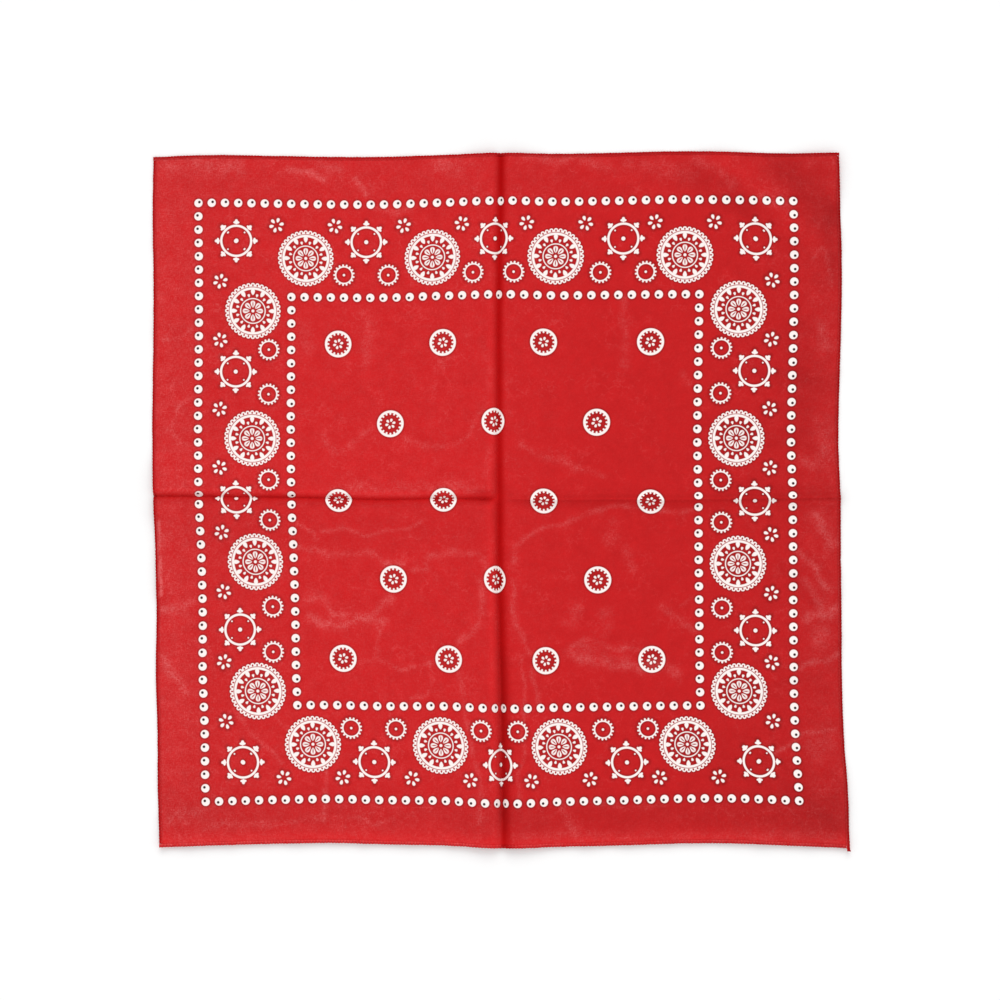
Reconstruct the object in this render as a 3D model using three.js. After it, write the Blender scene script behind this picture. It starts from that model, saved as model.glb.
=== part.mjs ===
// A square cotton bandana with rolled hems, spread out on a flat surface after it was folded in four.
// Lengths are in millimetres. Seen from above, x runs to the right and y runs away; z is up, and z = 0 is
// the surface. The origin is on the surface, under the middle of the cloth's bounding box.
//
// Every point of the cloth has two coordinates, u to the right and v away, counted from the crossing of its
// two ironed creases and seen from above. Each runs from -halfSide to +halfSide, at the outer edges.
import * as THREE from 'three';

const halfSide = 270;          // half of the finished square
const wall = 1.0;              // the square's thickness here

const hem = {
  width: 2.7,                  // of the rolled edge, seen from above
  thickness: 1.6,
  shoulder: 0.6,               // of the bevel along its upper edges
  gap: 0.3,                    // between a hem and the square, and between two hems
};

const panelHalf = halfSide - hem.width - hem.gap;

const cottonRed = new THREE.MeshStandardMaterial({ color: 0xcc2b2e, roughness: 0.92, metalness: 0 });
const hemRed = new THREE.MeshStandardMaterial({ color: 0xb42226, roughness: 0.92, metalness: 0 });

// Where the cloth lies: the x of its left edge, upright crease and right edge at stations along v, and the y
// of its near edge, level crease and far edge at stations along u.
const uprightLines = [
  { v: -270, left: -266.0, crease: 0.9, right: 272.0 },
  { v: -225, left: -267.6, crease: 0.9, right: 270.6 },
  { v: -180, left: -267.8, crease: 0.2, right: 267.5 },
  { v: -135, left: -269.1, crease: -0.6, right: 266.1 },
  { v: -90, left: -268.5, crease: -1.4, right: 265.8 },
  { v: -45, left: -269.3, crease: -2.0, right: 265.3 },
  { v: 0, left: -270.8, crease: -2.2, right: 264.9 },
  { v: 45, left: -271.8, crease: -2.2, right: 263.4 },
  { v: 90, left: -271.5, crease: -2.2, right: 264.2 },
  { v: 135, left: -270.9, crease: -2.2, right: 265.6 },
  { v: 180, left: -271.0, crease: -1.6, right: 266.1 },
  { v: 225, left: -271.6, crease: -0.5, right: 264.9 },
  { v: 270, left: -270.9, crease: 0.0, right: 263.4 },
];
const levelLines = [
  { u: -270, near: -270.5, crease: 3.4, far: 267.7 },
  { u: -225, near: -269.0, crease: 3.1, far: 269.3 },
  { u: -180, near: -267.8, crease: 2.5, far: 268.7 },
  { u: -135, near: -267.1, crease: 1.7, far: 267.9 },
  { u: -90, near: -268.2, crease: 0.5, far: 267.9 },
  { u: -45, near: -269.1, crease: 1.3, far: 269.4 },
  { u: 0, near: -271.2, crease: 0.9, far: 270.7 },
  { u: 45, near: -270.1, crease: 0.2, far: 270.3 },
  { u: 90, near: -269.1, crease: 0.5, far: 271.0 },
  { u: 135, near: -267.6, crease: 0.2, far: 272.2 },
  { u: 180, near: -267.5, crease: 0.9, far: 271.8 },
  { u: 225, near: -269.3, crease: 1.3, far: 270.6 },
  { u: 270, near: -272.1, crease: 2.1, far: 270.8 },
];

// The upright crease is a groove from edge to edge. Its line touches the surface, the cloth on both sides
// rises to a crown, and then sinks to the surface again at the reach.
const uprightGroove = [
  { v: -270, leftRise: 6.8, rightRise: 7.2, crown: 8.4, reach: 56 },
  { v: -160, leftRise: 7.1, rightRise: 7.4, crown: 8.2, reach: 46 },
  { v: -60, leftRise: 5.2, rightRise: 5.5, crown: 7.2, reach: 38 },
  { v: 40, leftRise: 4.5, rightRise: 4.3, crown: 6.5, reach: 38 },
  { v: 150, leftRise: 4.6, rightRise: 4.4, crown: 6.6, reach: 44 },
  { v: 270, leftRise: 4.1, rightRise: 3.7, crown: 6.4, reach: 41 },
];

// The level crease is such a groove to the left of the crossing and a ridge to the right of it. From its
// foot, the ridge falls on to the surface more gently over the apron.
const levelGroove = [
  { u: -270, nearRise: 4.1, farRise: 4.4, crown: 4.9, reach: 44 },
  { u: -150, nearRise: 4.2, farRise: 4.0, crown: 4.8, reach: 48 },
  { u: 0, nearRise: 3.4, farRise: 3.2, crown: 4.6, reach: 40 },
];
const levelRidge = [
  { u: 0, rise: 3.4, foot: 6.2, apron: 24 },
  { u: 110, rise: 4.5, foot: 6.8, apron: 30 },
  { u: 190, rise: 4.1, foot: 6.4, apron: 26 },
  { u: 270, rise: 4.7, foot: 7.2, apron: 32 },
];
const apronShare = 0.16;       // of the ridge's rise that the apron adds
const crestSharpness = 1.6;    // 1 is a straight-sided ridge, and more draws its sides in towards the crest
const grooveStart = 8;         // from the other crease, over which a groove's flanks rise out of the crossing
const ridgeStart = 20;         // the same for the ridge

// Soft folds that the cloth has kept: straight low ridges, each from one point of the cloth to another, with
// its rise, the breadth from crest to foot, and the length over which each end dies away.
const softFolds = [
  { fromU: 146, fromV: 284, toU: 274, toV: 182, rise: 3.0, breadth: 26, fade: 50 },
  { fromU: 232, fromV: 300, toU: 300, toV: 232, rise: 3.8, breadth: 38, fade: 40 },
  { fromU: 252, fromV: 168, toU: 238, toV: 52, rise: 2.2, breadth: 24, fade: 60 },
  { fromU: 190, fromV: -18, toU: 284, toV: -86, rise: 2.0, breadth: 23, fade: 50 },
  { fromU: 168, fromV: -160, toU: 284, toV: -96, rise: 2.3, breadth: 24, fade: 60 },
  { fromU: 200, fromV: -292, toU: 290, toV: -200, rise: 3.0, breadth: 34, fade: 60 },
  { fromU: -276, fromV: -22, toU: -264, toV: -92, rise: 1.8, breadth: 18, fade: 30 },
  { fromU: -284, fromV: 120, toU: -206, toV: 168, rise: 1.6, breadth: 22, fade: 50 },
];

// Grid lines of the cloth on one side of a crease: close together over the crease, then evenly spaced.
const creaseOffsets = [2.2, 4.4, 6.6, 9, 13, 19, 28, 40, 55];
const plainSteps = 12;

function smooth(t) {
  const c = Math.min(Math.max(t, 0), 1);
  return c * c * (3 - 2 * c);
}

// The value of a table's column at a place along it, on a smooth curve through its rows.
function alongTable(rows, key, column, at) {
  const last = rows.length - 2;
  let i = rows.findIndex((row) => row[key] > at) - 1;
  if (i < 0) i = at < rows[0][key] ? 0 : last;
  i = Math.min(Math.max(i, 0), last);
  const row = (k) => rows[Math.min(Math.max(k, 0), rows.length - 1)];
  const slope = (k) => (row(k + 1)[column] - row(k - 1)[column]) / (row(k + 1)[key] - row(k - 1)[key]);
  const width = rows[i + 1][key] - rows[i][key];
  const t = Math.min(Math.max((at - rows[i][key]) / width, 0), 1);
  return (1 + 2 * t) * (1 - t) ** 2 * rows[i][column] + t * (1 - t) ** 2 * width * slope(i)
    + t * t * (3 - 2 * t) * rows[i + 1][column] - t * t * (1 - t) * width * slope(i + 1);
}

function place(u, v) {
  const upright = (column) => alongTable(uprightLines, 'v', column, v);
  const level = (column) => alongTable(levelLines, 'u', column, u);
  const width = upright(u < 0 ? 'left' : 'right') - upright('crease');
  const depth = level(v < 0 ? 'near' : 'far') - level('crease');
  return [
    upright('crease') + (width * Math.abs(u)) / halfSide,
    level('crease') + (depth * Math.abs(v)) / halfSide,
  ];
}

function grooveHeight(distance, rise, crown, reach) {
  if (distance < crown) return rise * Math.sin((Math.PI / 2) * (distance / crown));
  return rise * (1 - smooth((distance - crown) / (reach - crown)));
}

function uprightHeight(u, v) {
  const value = (column) => alongTable(uprightGroove, 'v', column, v);
  return grooveHeight(Math.abs(u), value(u < 0 ? 'leftRise' : 'rightRise'), value('crown'), value('reach'));
}

function levelHeight(u, v) {
  const value = (column) => alongTable(levelGroove, 'u', column, u);
  return grooveHeight(Math.abs(v), value(v < 0 ? 'nearRise' : 'farRise'), value('crown'), value('reach'));
}

function ridgeHeight(u, v) {
  const value = (column) => alongTable(levelRidge, 'u', column, u);
  const crest = (1 - Math.min(Math.abs(v) / value('foot'), 1)) ** crestSharpness;
  const apron = 1 - smooth(Math.abs(v) / value('apron'));
  return value('rise') * ((1 - apronShare) * crest + apronShare * apron);
}

function softFoldHeight(u, v, fold) {
  const du = fold.toU - fold.fromU;
  const dv = fold.toV - fold.fromV;
  const length = Math.hypot(du, dv);
  const along = ((u - fold.fromU) * du + (v - fold.fromV) * dv) / length;
  const across = Math.abs((u - fold.fromU) * dv - (v - fold.fromV) * du) / length;
  const ends = smooth(along / fold.fade) * smooth((length - along) / fold.fade);
  return fold.rise * ends * (1 - smooth(across / fold.breadth));
}

// Height of the cloth's underside above the surface.
function lift(u, v) {
  let height = uprightHeight(u, v);
  if (u < 0) {
    height *= smooth(Math.abs(v) / grooveStart);
    height += levelHeight(u, v) * smooth(-u / grooveStart);
  } else {
    height += ridgeHeight(u, v) * smooth(u / ridgeStart);
  }
  for (const fold of softFolds) height += softFoldHeight(u, v, fold);
  return height;
}

// The lines of the grid from one edge of the square to the other.
function gridLines(half) {
  const near = creaseOffsets.at(-1);
  const side = [...creaseOffsets];
  for (let i = 1; i <= plainSteps; i++) side.push(near + ((half - near) * i) / plainSteps);
  return [...side.map((d) => -d).reverse(), 0, ...side];
}

function solid(points, triangles) {
  const geometry = new THREE.BufferGeometry();
  geometry.setAttribute('position', new THREE.Float32BufferAttribute(points.flat(), 3));
  geometry.setIndex(triangles.flat());
  geometry.computeVertexNormals();
  return geometry;
}

// The printed square: a grid of points on its upper face, the same grid a wall lower, and a rim between them.
function panelGeometry() {
  const lines = gridLines(panelHalf);
  const n = lines.length;
  const points = [];
  for (const height of [wall, 0]) {
    for (const v of lines) {
      for (const u of lines) points.push([...place(u, v), lift(u, v) + height]);
    }
  }
  const upper = (i, j) => j * n + i;
  const lower = (i, j) => n * n + j * n + i;
  const triangles = [];
  const rim = (a, b) => {
    triangles.push([upper(...a), lower(...a), lower(...b)], [upper(...a), lower(...b), upper(...b)]);
  };
  for (let j = 0; j < n - 1; j++) {
    for (let i = 0; i < n - 1; i++) {
      triangles.push([upper(i, j), upper(i + 1, j), upper(i + 1, j + 1)]);
      triangles.push([upper(i, j), upper(i + 1, j + 1), upper(i, j + 1)]);
      triangles.push([lower(i, j), lower(i + 1, j + 1), lower(i + 1, j)]);
      triangles.push([lower(i, j), lower(i, j + 1), lower(i + 1, j + 1)]);
    }
  }
  for (let i = 0; i < n - 1; i++) {
    rim([i, 0], [i + 1, 0]);
    rim([n - 1, i], [n - 1, i + 1]);
    rim([i + 1, n - 1], [i, n - 1]);
    rim([0, i + 1], [0, i]);
  }
  return solid(points, triangles);
}

// A rolled hem: its section, with bevelled shoulders, carried along one edge of the cloth. `side` is the unit
// direction in cloth coordinates from the middle of the cloth to that edge.
function hemGeometry(side, endHalf) {
  const inner = halfSide - hem.width;
  const section = [
    [inner, 0],
    [halfSide, 0],
    [halfSide, hem.thickness - hem.shoulder],
    [halfSide - hem.shoulder, hem.thickness],
    [inner + hem.shoulder, hem.thickness],
    [inner, hem.thickness - hem.shoulder],
  ];
  const stations = gridLines(endHalf);
  const points = [];
  for (const s of stations) {
    for (const [out, height] of section) {
      const u = side.u * out - side.v * s;
      const v = side.v * out + side.u * s;
      points.push([...place(u, v), lift(u, v) + height]);
    }
  }
  const k = section.length;
  const triangles = [];
  for (let j = 0; j < stations.length - 1; j++) {
    for (let i = 0; i < k; i++) {
      const a = j * k + i;
      const b = j * k + ((i + 1) % k);
      triangles.push([a, a + k, b], [b, a + k, b + k]);
    }
  }
  const end = (stations.length - 1) * k;
  for (let i = 1; i < k - 1; i++) {
    triangles.push([0, i, i + 1], [end, end + i + 1, end + i]);
  }
  return solid(points, triangles);
}

function piece(name, geometry, material) {
  const mesh = new THREE.Mesh(geometry, material);
  mesh.name = name;
  return mesh;
}

const bandana = new THREE.Group();
bandana.add(piece('panel', panelGeometry(), cottonRed));
bandana.add(piece('hem_top', hemGeometry({ u: 0, v: 1 }, halfSide), hemRed));
bandana.add(piece('hem_bottom', hemGeometry({ u: 0, v: -1 }, halfSide), hemRed));
bandana.add(piece('hem_left', hemGeometry({ u: -1, v: 0 }, panelHalf), hemRed));
bandana.add(piece('hem_right', hemGeometry({ u: 1, v: 0 }, panelHalf), hemRed));

export default bandana;
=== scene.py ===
import math

import bpy
import numpy as np
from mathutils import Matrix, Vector, noise


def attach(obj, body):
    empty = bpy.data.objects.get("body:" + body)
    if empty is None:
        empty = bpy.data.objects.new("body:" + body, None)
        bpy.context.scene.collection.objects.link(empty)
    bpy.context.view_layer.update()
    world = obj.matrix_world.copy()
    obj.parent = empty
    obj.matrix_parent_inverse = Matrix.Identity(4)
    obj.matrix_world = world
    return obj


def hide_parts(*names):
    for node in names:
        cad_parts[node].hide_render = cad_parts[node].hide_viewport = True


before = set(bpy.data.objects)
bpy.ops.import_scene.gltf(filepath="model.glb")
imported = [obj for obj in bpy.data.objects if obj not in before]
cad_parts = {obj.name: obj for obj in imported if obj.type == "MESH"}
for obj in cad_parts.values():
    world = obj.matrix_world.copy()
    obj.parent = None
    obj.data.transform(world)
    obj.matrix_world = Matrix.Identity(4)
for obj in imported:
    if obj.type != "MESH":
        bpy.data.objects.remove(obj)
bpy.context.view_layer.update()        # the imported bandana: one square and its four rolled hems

mm = 0.001
print("bandana: frame loaded,", len(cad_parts), "nodes")


# How the cloth lies, in millimetres, as in the solid model. Every point has two coordinates, u to the right
# and v away, counted from the crossing of the creases, each from -half to half.
cloth = {
    "half": 270,
    "thickness": 0.35,
    "tuckedEdge": 268.4,  # how far the square runs into its hems
    "creaseStep": 0.8,  # grid of the mesh over a crease, beside it and on the plain cloth
    "creaseSteps": 13,
    "besideStep": 1.6,
    "besideSteps": 10,
    "plainSteps": 111,
    "rippleHeight": 0.28,  # of the faint unevenness of cloth that was washed and pressed
    "rippleLength": 21,
    "fineRipple": 0.4,  # share of a finer unevenness, and its size
    "fineRippleLength": 8,
    "pucker": 0.5,  # of the small waves that a stitched edge draws up
    "puckerLength": 15,
    "puckerDepth": 13,
    "nearRise": 2.3,  # how far the near edge stands off the surface, and how deep that reaches
    "nearRiseDepth": 34,
    "nearEvenness": 0.95,  # that edge's share of the rise all along, and its share that waves
    "nearWave": 0.25,
    "nearFlattening": 0.4,  # how far the folds flatten out towards that edge
}
uprightLines = {
    "v": [-270, -225, -180, -135, -90, -45, 0, 45, 90, 135, 180, 225, 270],
    "left": [-266.0, -267.6, -267.8, -269.1, -268.5, -269.3, -270.8, -271.8, -271.5, -270.9, -271.0,
               -271.6, -270.9],
    "crease": [0.9, 0.9, 0.2, -0.6, -1.4, -2.0, -2.2, -2.2, -2.2, -2.2, -1.6, -0.5, 0.0],
    "right": [272.0, 270.6, 267.5, 266.1, 265.8, 265.3, 264.9, 263.4, 264.2, 265.6, 266.1, 264.9, 263.4],
}
levelLines = {
    "u": [-270, -225, -180, -135, -90, -45, 0, 45, 90, 135, 180, 225, 270],
    "near": [-270.5, -269.0, -267.8, -267.1, -268.2, -269.1, -271.2, -270.1, -269.1, -267.6, -267.5,
               -269.3, -271.3],
    "crease": [3.4, 3.1, 2.5, 1.7, 0.5, 1.3, 0.9, 0.2, 0.5, 0.2, 0.9, 1.3, 2.1],
    "far": [267.7, 269.3, 268.7, 267.9, 267.9, 269.4, 270.7, 270.3, 271.0, 272.2, 271.8, 270.6, 270.8],
}
uprightGroove = {
    "v": [-270, -160, -60, 40, 150, 270],
    "leftRise": [6.8, 7.1, 5.2, 4.5, 4.6, 4.1],
    "rightRise": [7.2, 7.4, 5.5, 4.3, 4.4, 3.7],
    "crown": [8.4, 8.2, 7.2, 6.5, 6.6, 6.4],
    "reach": [56, 46, 38, 38, 44, 41],
}
levelGroove = {
    "u": [-270, -150, 0],
    "nearRise": [4.1, 4.2, 3.4],
    "farRise": [4.4, 4.0, 3.2],
    "crown": [4.9, 4.8, 4.6],
    "reach": [44, 48, 40],
}
levelRidge = {
    "u": [0, 110, 190, 270],
    "rise": [3.4, 4.5, 4.1, 4.7],
    "foot": [6.2, 6.8, 6.4, 7.2],
    "apron": [24, 30, 26, 32],
}
crease = {"apronShare": 0.16, "crestSharpness": 1.6, "grooveStart": 8, "ridgeStart": 20}

# Folds that the cloth has kept: from u, from v, to u, to v, rise, breadth from crest to foot, fade at
# the ends.
softFolds = [
    (146, 284, 274, 182, 3.0, 26, 50),
    (232, 300, 300, 232, 3.8, 38, 40),
    (252, 168, 238, 52, 2.2, 24, 60),
    (190, -18, 284, -86, 2.0, 23, 50),
    (168, -160, 284, -96, 2.3, 24, 60),
    (200, -292, 290, -200, 3.0, 34, 60),
    (-276, -22, -264, -92, 1.8, 18, 30),
    (-284, 120, -206, 168, 1.6, 22, 50),
]
wrinkles = [
    (222, -16, 268, -62, 0.9, 7, 18),
    (214, -34, 266, -98, 1.0, 8, 22),
    (178, -140, 262, -86, 0.8, 7, 25),
    (196, -146, 266, -132, 0.7, 7, 20),
    (-164, -92, -110, -128, 0.7, 8, 20),
    (128, 262, 190, 226, 0.7, 9, 20),
    (206, 60, 226, 118, 0.5, 8, 20),
    (14, -84, 26, -146, 0.6, 7, 20),
]


def smooth(t):
    t = np.clip(t, 0, 1)
    return t * t * (3 - 2 * t)


def alongTable(table, key, column, at):  # a smooth curve through the rows of a table
    keys = np.array(table[key], float)
    values = np.array(table[column], float)
    i = np.clip(np.searchsorted(keys, at, side="right") - 1, 0, len(keys) - 2)
    width = keys[i + 1] - keys[i]

    def slope(k):
        before = np.maximum(k - 1, 0)
        after = np.minimum(k + 1, len(keys) - 1)
        return (values[after] - values[before]) / (keys[after] - keys[before])

    t = np.clip((at - keys[i]) / width, 0, 1)
    return ((1 + 2 * t) * (1 - t) ** 2 * values[i] + t * (1 - t) ** 2 * width * slope(i)
            + t * t * (3 - 2 * t) * values[i + 1] - t * t * (1 - t) * width * slope(i + 1))


def columns(table, at, *names):  # of a table whose first column is what the others follow
    key, *others = table
    return [alongTable(table, key, name, at) for name in names or others]


def place(u, v):  # x and y of a point of the cloth
    left, middle, right = columns(uprightLines, v)
    near, level, far = columns(levelLines, u)
    side = np.where(u < 0, left, right)
    end = np.where(v < 0, near, far)
    return middle + (side - middle) * abs(u) / cloth["half"], level + (end - level) * abs(v) / cloth["half"]


def grooveHeight(distance, rise, crown, reach):
    flank = rise * np.sin(math.pi / 2 * np.minimum(distance / crown, 1))
    return np.where(distance < crown, flank, rise * (1 - smooth((distance - crown) / (reach - crown))))


def creaseProfiles(u, v):  # heights of the upright groove, the left half's groove, the right half's ridge
    leftRise, rightRise, crown, reach = columns(uprightGroove, v)
    across = grooveHeight(abs(u), np.where(u < 0, leftRise, rightRise), crown, reach)
    nearRise, farRise, crown, reach = columns(levelGroove, u)
    level = grooveHeight(abs(v), np.where(v < 0, nearRise, farRise), crown, reach)
    rise, foot, apronReach = columns(levelRidge, u)
    crest = (1 - np.minimum(abs(v) / foot, 1)) ** crease["crestSharpness"]
    apron = 1 - smooth(abs(v) / apronReach)
    return across, level, rise * ((1 - crease["apronShare"]) * crest + crease["apronShare"] * apron)


def creaseHeight(u, v):
    across, level, ridge = creaseProfiles(u, v)
    leftHalf = across * smooth(abs(v) / crease["grooveStart"]) + level * smooth(-u / crease["grooveStart"])
    return np.where(u < 0, leftHalf, across + ridge * smooth(u / crease["ridgeStart"]))


def foldHeight(u, v, fold):
    fromU, fromV, toU, toV, rise, breadth, fade = fold
    length = math.hypot(toU - fromU, toV - fromV)
    along = ((u - fromU) * (toU - fromU) + (v - fromV) * (toV - fromV)) / length
    across = abs((u - fromU) * (toV - fromV) - (v - fromV) * (toU - fromU)) / length
    return rise * smooth(along / fade) * smooth((length - along) / fade) * (1 - smooth(across / breadth))


def lift(u, v):  # height of the cloth's underside over the surface
    height = creaseHeight(u, v)
    for fold in softFolds:
        height = height + foldHeight(u, v, fold)
    return height


def unevenness(u, v, length, seed):  # from -1 to 1
    flat = [noise.noise(Vector((a / length, b / length, seed))) for a, b in zip(np.ravel(u), np.ravel(v))]
    return np.reshape(flat, np.shape(u))


def clothHeight(u, v):  # lift, with the small wrinkles and unevenness that the solid model leaves out
    height = lift(u, v)
    for fold in wrinkles:
        height = height + foldHeight(u, v, fold)
    ripple = 0.5 + unevenness(u, v, cloth["rippleLength"], 3.1)
    ripple = ripple + cloth["fineRipple"] * unevenness(u, v, cloth["fineRippleLength"], 7.7)
    fromEdge = cloth["half"] - np.maximum(abs(u), abs(v))
    along = np.where(abs(u) > abs(v), v, u)
    wave = unevenness(along, 0 * along + np.sign(u + v), cloth["puckerLength"], 5.5)
    pucker = np.maximum(wave, 0) * (1 - smooth(fromEdge / cloth["puckerDepth"]))
    nearEdge = 1 - smooth((v + cloth["half"]) / cloth["nearRiseDepth"])
    height = height * (1 - cloth["nearFlattening"] * nearEdge)
    rise = cloth["nearRise"] * nearEdge * (cloth["nearEvenness"] + cloth["nearWave"] * wave)
    height = np.hypot(height, rise)
    return height + cloth["rippleHeight"] * np.maximum(ripple, 0) + cloth["pucker"] * pucker


# Where the red is paler or darker. The pale levels are the cloth's own washed tone; the shade levels are
# painted shade, darker towards the right and the near edge, and the painted light and shade beside the
# creases. A pale line is where the thin cloth touches the white surface: its width and strength, then its
# points in millimetres from the middle.
tone = {
    "u": [-270, -225, -150, -20, 20, 80, 150, 225, 270],
    "pale": [0.24, 0.19, 0.14, 0.12, 0.08, 0.03, 0.03, 0.08, 0.12],
    # shade: painted shade, the red dimmer towards the right where less light falls
    "shade": [0.07, 0.06, 0.03, 0.04, 0.065, 0.105, 0.125, 0.18, 0.21],
    # nearShade: painted shade towards the near edge and painted light towards the far edge
    "nearShade": 0.015,  # how much darker the near edge is than the middle, and the far edge paler
    "margin": 0.06,  # how much paler the cloth is outside the print's frame, and from where
    "marginStart": 228,
    "marginFade": 16,
    "wobble": 3.0,
    "wobbleLength": 13,
    "lineStrength": 0.72,
    "lineWidth": 0.8,
}
# Painted shade along the upright crease: the breadth, place and strength of its darker, dimmer band, and
# painted light on its left flank.
uprightCreaseShade = {
    "v": [-270, -160, -60, 60, 270],
    "before": [2.3, 1.9, 3.2, 3.4, 4.0],  # breadth on the left of the darkest line, and on its right
    "beyond": [6.0, 5.4, 4.2, 3.4, 4.0],
    "shift": [1.4, 1.8, 1.7, 1.5, 0.4],
    "deep": [0.9, 1.0, 1.0, 0.9, 1.0],
    "shade": [0.12, 0.16, 0.04, 0.03, 0.05],
    "lit": [0.06, 0.12, 0.12, 0.08, 0.0],  # of the flank on the left
    "litPlace": -5,
    "litWidth": 3.5,
}
# Painted shade along the level crease, and painted light and shade on its flanks: a negative dim is painted
# light.
levelCreaseShade = {
    "leftPlace": -0.5,
    "leftWidth": 2.6,
    "leftDeep": 0.62,
    "rightWidth": 5.0,
    "rightDeep": 0.18,
    "u": [-270, -8, 8, 110, 200, 270],
    "farDim": [-0.20, -0.20, 0.10, 0.13, 0.13, 0.07],  # of the flanks beyond and before the crease
    "nearDim": [0.12, 0.12, -0.04, -0.07, -0.11, -0.16],
    "farPlace": 2.6,
    "farWidth": 2.8,
    "nearPlace": -3.4,
    "nearWidth": 2.6,
}
# Painted shade and painted light of the soft folds, the corners and the edges: a negative darkening is
# painted light.
shadeLines = [  # width, how much darker, points
    (11, 0.09, (150, 254), (194, 228)),
    (13, 0.13, (226, 257), (257, 218)),
    (10, 0.08, (264, 226), (264, 172)),
    (9, -0.06, (171, 267), (214, 232), (245, 199)),
    (13, 0.07, (237, 133), (241, 47)),
    (12, 0.05, (171, 55), (226, 47)),
    (26, 0.05, (163, -195), (257, -234)),
    (14, 0.03, (226, -228), (257, -248)),
    (16, 0.095, (-250, -246), (250, -246)),
    (20, 0.03, (-250, 250), (40, 250)),
    (7, -0.14, (-268, -268), (268, -268)),
    (12, -0.03, (-258, 250), (-258, -200)),
    (9, 0.05, (200, 100), (262, 88)),
    (8, 0.05, (176, 12), (262, 2)),
]
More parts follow.
